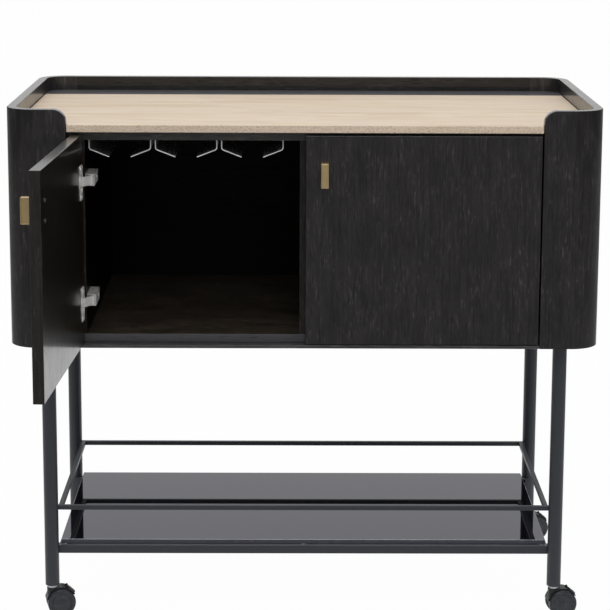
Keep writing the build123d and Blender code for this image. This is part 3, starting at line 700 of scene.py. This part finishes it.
def solids_of(name):
    """The corners of each separate solid of a node, merged first and then walked along edges."""
    work = merged(nodes[name].data)
    left, found = set(work.verts), []
    while left:
        reached = [left.pop()]
        for corner in reached:
            near = {edge.other_vert(corner) for edge in corner.link_edges} & left
            left -= near
            reached.extend(near)
        found.append(np.array([corner.co for corner in reached]))
    work.free()
    return sorted(found, key=lambda points: tuple(points.mean(0).round(4)))


def recess_arm_share(far, near):
    """1 in one arm of the cross, fading to 0 past its end and its sides."""
    end = np.clip((recess_arm - far) / recess_arm_fade, 0, 1)
    return end * np.clip((recess_width - near) / recess_width_fade, 0, 1)


def screw_grid(points):
    """Screw in the place of a plain one. The head is a low dome with a cross-shaped recess, whose
    depth fades with the distance from either arm; then come its skirt, the shank and a point."""
    middle = points.mean(0)
    aim = np.linalg.eigh(np.cov((points - middle).T))[1][:, -1]
    along = (points - middle) @ aim
    across = np.linalg.norm(points - middle - np.outer(along, aim), axis=1)
    if along[across.argmax()] < 0:
        aim, along = -aim, -along
    radius = across.max()
    shank = across[along < along.min() + merge_distance].max()
    face, top, tip = along[across > 0.98 * radius].min(), along.max(), along.min()
    rows = np.linspace(0, 1, head_rows)
    dome = np.sqrt(1 - dome_fall * rows**2)
    profile = [(face + (top - face) * height, radius * share) for height, share in zip(dome, rows)]
    profile += [(face, radius), (face, shank), (tip + shank, shank), (tip, 0)]
    grid = turned(profile, middle, aim, head_sides)
    head = grid[:head_rows] - middle
    spots = [np.abs(head @ direction) / radius for direction in square_to(aim)]
    cross = np.maximum(recess_arm_share(*spots), recess_arm_share(*spots[::-1]))
    grid[:head_rows] -= (recess_depth * (top - face) * cross)[..., None] * aim
    return grid


for screws in ("hinge_plate", "glass_rack", "leg"):
    grids = [screw_grid(solid) for solid in solids_of(f"{screws}_screws")]
    from_grids(f"{screws}_cross_screws", grids, f"{screws}_screws")
for side in ("left", "right"):
    solids = solids_of(f"{side}_door_screws")
    through = [np.ptp(solid, axis=0).max() > long_screw for solid in solids]
    for name, handle, finish in (("handle", True, "frame_steel"), ("flange", False, "nickel")):
        grids = [screw_grid(solid) for solid, long in zip(solids, through) if long == handle]
        from_grids(f"{side}_{name}_cross_screws", grids, f"{side}_door_screws", finish)


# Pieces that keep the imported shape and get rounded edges


edge_radius = {
    "left_hinge_cups": 0.2 * MM,
    "left_hinge_links": 0.2 * MM,
    "left_hinge_arms": 0.3 * MM,
    "left_hinge_plates": 0.3 * MM,
    "right_hinge_cups": 0.2 * MM,
    "right_hinge_links": 0.2 * MM,
    "right_hinge_arms": 0.3 * MM,
    "right_hinge_plates": 0.3 * MM,
    "glass_rack_rails": 0.6 * MM,
    "floor_panel": 0.8 * MM,
    "base_board": 0.6 * MM,
    "gallery_rail": 0.7 * MM,
    "shelf_frame": 0.9 * MM,
    "glass_shelf": 1.0 * MM,
}


def eased(name, radius, mirror=False):
    """Copy of a node with its flat faces joined and its corners rounded by a bevel. A mirror's
    faces are shaded flat."""
    mesh = nodes[name].data.copy()
    split_normals = mesh.attributes.get("custom_normal")
    if split_normals:
        mesh.attributes.remove(split_normals)
    work = merged(mesh)
    bmesh.ops.dissolve_limit(work, angle_limit=flat_angle, verts=work.verts, edges=work.edges)
    closed(work, mesh)
    if mirror:
        mesh.shade_flat()
    else:
        crease(mesh)
    thing = bpy.data.objects.new(name + "_eased", mesh)
    bevel = thing.modifiers.new("rounded_edges", "BEVEL")
    bevel.width = radius
    bevel.segments = 2
    bevel.limit_method = "ANGLE"
    bevel.angle_limit = crease_angle
    bevel.use_clamp_overlap = False
    bevel.harden_normals = not mirror
    stand_for(thing, name)


for name, radius in edge_radius.items():
    eased(name, radius, mirror=name == "glass_shelf")


# Castors


corner_names = [f"{end}_{side}" for end in ("front", "rear") for side in ("left", "right")]
hood_edge = 0.35 * MM
wheel_sides = 72
wheel_round = 2.5 * MM
wheel_round_steps = 7
wheel_inner_edge = 1.0 * MM
dish_radius = 19.5 * MM
dish_depth = 0.7 * MM
dish_slope = 0.4 * MM
dish_lip = 0.2 * MM
groove_radius = 17.6 * MM
groove_width = 2.0 * MM
groove_depth = 0.5 * MM
cap_radius = 7.5 * MM
lever_width = 11.0 * MM
lever_thickness = 3.2 * MM
lever_edge = 0.9 * MM
lever_edge_steps = 3
lever_steps = 61
lever_pin_radius = 1.2 * MM
lever_pin_sides = 20
grip_start, grip_end, grip_fade = 0.0, 0.85, 0.1
grip_rib = 0.14
grip_ribs = 4


def wheel_profile(width, radius):
    """Half section of a wheel from its inner to its outer face: tread, round shoulder, flat rim,
    dish with a ring groove, and a domed cap in the middle."""
    angle = np.linspace(0, pi / 2, wheel_round_steps)
    swell = np.column_stack([np.sin(angle), np.cos(angle)])
    floor, bottom = width - dish_depth, width - dish_depth - groove_depth
    groove_end = groove_radius - groove_width
    inner = [(0.0, 0.0), (0.0, radius - wheel_inner_edge), (wheel_inner_edge, radius)]
    shoulder = np.array([width - wheel_round, radius - wheel_round]) + wheel_round * swell
    rim = [(width, dish_radius + dish_slope), (width - dish_lip, dish_radius)]
    rim += [(floor, dish_radius - dish_slope)]
    groove = [(floor, groove_radius), (bottom, groove_radius - groove_depth)]
    groove += [(bottom, groove_end + groove_depth), (floor, groove_end)]
    cap = np.array([floor, 0.0]) + swell * (dish_depth, cap_radius)
    return [*inner, *shoulder, *rim, *groove, (floor, cap_radius), *cap]


def castor_wheel(corner, side):
    """Lathed wheel on its axle's line."""
    name = f"{corner}_castor_{side}_wheel"
    roll = joints[f"{corner}_{side}_wheel_roll"]
    axle, aim = np.array(roll["pos_m"]), unit(np.array(roll["axis"]))
    low, high = [place - axle @ aim for place in reach(name, aim)]
    if low < 0:
        aim, low, high = -aim, -high, -low
    radius = axle[2] - reach(name, np.array([0.0, 0.0, 1.0]))[0]
    grid = turned(wheel_profile(high - low, radius), axle + low * aim, aim, wheel_sides)
    from_grids(f"{corner}_{side}_tread_wheel", [grid], name)


def brake_lever(corner):
    """Foot pedal: a rounded strip swept from the pivot to the tip, which thins to its round ends
    and swells in four grip ribs near the tip, on a plain pin."""
    name = f"{corner}_castor_brake_lever"
    press = joints[f"{corner}_brake_press"]
    pivot, side = np.array(press["pos_m"]), unit(np.array(press["axis"]))
    ways = corners_of(name) - pivot
    ways -= np.outer(ways @ side, side)
    far = ways[np.linalg.norm(ways, axis=1).argmax()]
    length, aim = np.linalg.norm(far), unit(far)
    up = np.cross(side, aim)
    along = np.linspace(-lever_thickness / 2, length, lever_steps)
    share = np.linspace(-1, 1, lever_steps)
    taper = (1 - share**8) ** (1 / 4)
    on_grip = np.clip((share - grip_start) / grip_fade, 0, 1)
    on_grip *= np.clip((grip_end - share) / grip_fade, 0, 1)
    ribs = np.cos(share * 2 * pi * grip_ribs)
    thick = taper * (1 - grip_rib + grip_rib * on_grip * ribs)
    section = rounded_outline(lever_width, lever_thickness, lever_edge, lever_edge_steps)
    sideways = (taper[:, None] * section[:, 0])[..., None] * side
    upright = (thick[:, None] * section[:, 1])[..., None] * up
    pedal = pivot + along[:, None, None] * aim + sideways + upright
    low, high = [place - pivot @ side for place in reach(name, side)]
    pin_profile = [(low, 0), (low, lever_pin_radius), (high, lever_pin_radius), (high, 0)]
    pin = turned(pin_profile, pivot, side, lever_pin_sides)
    from_grids(f"{corner}_brake_pedal", [pedal, pin], name)


for corner in corner_names:
    eased(f"{corner}_castor_hood", hood_edge)
    castor_wheel(corner, "left")
    castor_wheel(corner, "right")
    brake_lever(corner)


# Studio


floor_half = 6.0
floor_back = 18.0
floor_grey = (0.82, 0.82, 0.82, 1.0)
floor_glow = 0.98
background_white = (1.0, 1.0, 1.0, 1.0)
front_gloss, back_gloss = 0.22, 0.86
front_soft, back_soft = 0.3, 0.8
side_shade = 0.85
lit_spot = (0.0, 0.1, 0.6)


def studio_floor():
    """Plain pale floor that shows white and keeps the cart's shadow."""
    data = bpy.data.meshes.new("floor")
    corners = [(-floor_half, -floor_half, 0.0), (floor_half, -floor_half, 0.0)]
    corners += [(floor_half, floor_back, 0.0), (-floor_half, floor_back, 0.0)]
    data.from_pydata(corners, [], [(0, 1, 2, 3)])
    floor = bpy.data.objects.new("floor", data)
    bpy.context.scene.collection.objects.link(floor)
    material, paint = new_paint("floor_paint")
    pale = paint.node("BsdfDiffuse", None, {"Color": floor_grey})
    seen = paint.node("LightPath", output="Is Camera Ray")
    shiny = paint.node("LightPath", output="Is Glossy Ray")
    to_back, to_right = paint.part(paint.place(), "Y"), paint.part(paint.place(), "X")
    within = 1 - paint.aside(to_right, low=1.1, high=2.1)
    behind = paint.step(to_back, low=-0.5, high=0.3) * within
    dim = (front_gloss, front_gloss, front_gloss, 1.0)
    shade = paint.mix(seen.at_least(behind), dim, background_white)
    glow = paint.node("Emission", None, {"Color": shade, "Strength": 1.0})
    shown = seen.at_least(shiny) * floor_glow
    paint.show(paint.node("MixShader", None, {0: shown, 1: pale, 2: glow}))
    floor.data.materials.append(material)


def studio_world():
    """White behind and above the cart, dimmer in front and at its sides, white for the camera."""
    world = bpy.data.worlds.new("studio")
    bpy.context.scene.world = world
    paint = Paint(world)
    direction = paint.node("TexCoord", output="Generated")
    to_back, to_right = paint.part(direction, "Y"), paint.part(direction, "X")
    upwards = paint.part(direction, "Z")
    seen = paint.node("LightPath", output="Is Camera Ray")
    through = paint.node("LightPath", output="Is Transmission Ray")
    shiny = paint.node("LightPath", output="Is Glossy Ray")
    soft = paint.step(to_back, low=-0.3, high=0.35) * (back_soft - front_soft) + front_soft
    glossy = paint.step(to_back, low=0.3, high=0.9) * (back_gloss - front_gloss) + front_gloss
    level = 1 - paint.step(upwards, low=0.3, high=0.6)
    shaded = paint.aside(to_right, low=0.15, high=0.4) * side_shade * level
    lit = soft * (1 - shiny) + glossy * (1 - shaded) * shiny
    strength = seen.at_least(through).at_least(lit)
    sky = paint.node("Background", None, {"Color": background_white, "Strength": strength})
    paint.show(sky, "OutputWorld")


def softbox(name, place, size, power, tint=(1.0, 1.0, 1.0), mirrored=True):
    """Square area lamp that looks at the cart, and may be kept out of reflections."""
    lamp = bpy.data.lights.new(name, "AREA")
    lamp.size = size
    lamp.energy = power
    lamp.color = tint
    holder = bpy.data.objects.new(name, lamp)
    holder.location = place
    aim = Vector(lit_spot) - Vector(place)
    holder.rotation_euler = aim.to_track_quat("-Z", "Y").to_euler()
    holder.visible_glossy = mirrored
    bpy.context.scene.collection.objects.link(holder)


studio_floor()
studio_world()
softbox("top_light", (0.0, -0.3, 3.2), size=2.4, power=23.0)
softbox("front_light", (0.0, -2.9, 2.8), size=1.4, power=22.0)
softbox("left_light", (-3.2, -1.6, 1.8), 1.8, 15.0, tint=(1.0, 0.97, 0.92), mirrored=False)
softbox("right_light", (3.2, -1.2, 1.9), 1.8, 17.0, tint=(0.94, 0.97, 1.0), mirrored=False)


# Camera


def studio_camera():
    """The photograph's viewpoint, from above the front, with a little downward shift."""
    place = (-22.6 * MM, -3406.8 * MM, 1339.8 * MM)
    yaw, pitch, roll = radians(-0.328), radians(-9.97), radians(-0.227)
    data = bpy.data.cameras.new("camera")
    data.sensor_width = 36.0
    data.lens = 117.4
    data.shift_x = 0.0034
    data.shift_y = -0.16
    camera = bpy.data.objects.new("camera", data)
    turn = Matrix.Rotation(yaw, 4, "Z") @ Matrix.Rotation(pitch + radians(90), 4, "X")
    camera.matrix_world = Matrix.Translation(place) @ turn @ Matrix.Rotation(-roll, 4, "Z")
    bpy.context.scene.collection.objects.link(camera)
    bpy.context.scene.camera = camera


studio_camera()
bpy.context.scene.view_settings.view_transform = "Standard"

bpy.context.view_layer.update()
